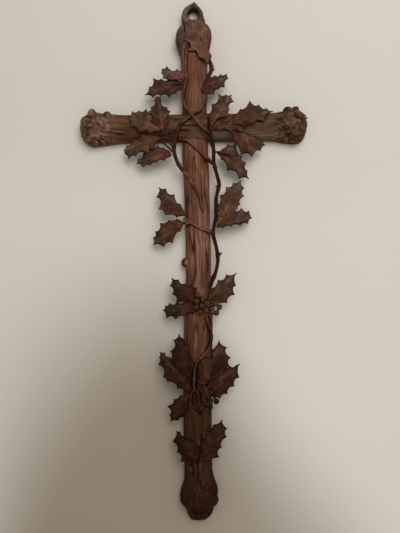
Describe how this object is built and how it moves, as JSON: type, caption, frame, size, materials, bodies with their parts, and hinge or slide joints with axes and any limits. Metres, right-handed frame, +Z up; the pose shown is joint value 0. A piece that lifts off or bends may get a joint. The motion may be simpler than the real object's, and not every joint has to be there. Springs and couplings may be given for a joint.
{
  "type": "wall cross",
  "caption": "Carved wooden wall cross: half-round logs halved together, dressed with holly leaves, berries and twining stems, with a pointed hanging eye.",
  "frame": {"origin": "middle of the hanging eye's hole at the wall plane", "axes": "+X along the crossbeam to the viewer's right, +Y into the wall that the flat back rests on, +Z up the upright; the carving stands out towards -Y"},
  "size_m": [0.263, 0.0298, 0.602],
  "materials": {
    "bark_wood": "carved bark, brown stain rubbed back on the ridges, satin wax",
    "stem_wood": "carved smooth, brown stain, satin wax",
    "leaf_wood": "carved smooth with cut veins, dark red-brown stain, satin wax",
    "berry_wood": "turned smooth, dark red-brown stain, satin wax",
    "peg_wood": "bare cut dowel"
  },
  "bodies": {
    "root": {"upright": "bark_wood", "crossbeam": "bark_wood", "lap_pegs": "peg_wood", "stem_pins": "peg_wood", "leaf_stalks": "stem_wood", "berries": "berry_wood", "thorns": "stem_wood", "stem_upper_left": "stem_wood", "stem_upper_right": "stem_wood", "stem_crossing": "stem_wood", "stem_right": "stem_wood", "stem_tendril": "stem_wood", "stem_lower": "stem_wood", "stem_foot": "stem_wood", "stem_fork_left": "stem_wood", "stem_fork_right": "stem_wood", "crown_leaf": "leaf_wood", "leaf_top_left_upper": "leaf_wood", "leaf_top_left_lower": "leaf_wood", "leaf_beam_left_upright": "leaf_wood", "leaf_beam_left_long": "leaf_wood", "leaf_beam_left_outer": "leaf_wood", "leaf_beam_left_hanging": "leaf_wood", "leaf_middle_left_upper": "leaf_wood", "leaf_middle_left_lower": "leaf_wood", "leaf_berry_left_upper": "leaf_wood", "leaf_berry_left_lower": "leaf_wood", "leaf_low_left_upper": "leaf_wood", "leaf_low_left_outer": "leaf_wood", "leaf_low_left_hanging": "leaf_wood", "leaf_foot_left": "leaf_wood", "leaf_top_right": "leaf_wood", "leaf_beam_right_upright": "leaf_wood", "leaf_beam_right_flat": "leaf_wood", "leaf_beam_right_long": "leaf_wood", "leaf_beam_right_small": "leaf_wood", "leaf_beam_right_outer": "leaf_wood", "leaf_beam_right_hanging": "leaf_wood", "leaf_middle_right_upper": "leaf_wood", "leaf_middle_right_lower": "leaf_wood", "leaf_berry_right": "leaf_wood", "leaf_low_right_upper": "leaf_wood", "leaf_low_right_outer": "leaf_wood", "leaf_low_right_small": "leaf_wood", "leaf_low_right_front": "leaf_wood", "leaf_foot_right": "leaf_wood"}
  },
  "joints": []
}
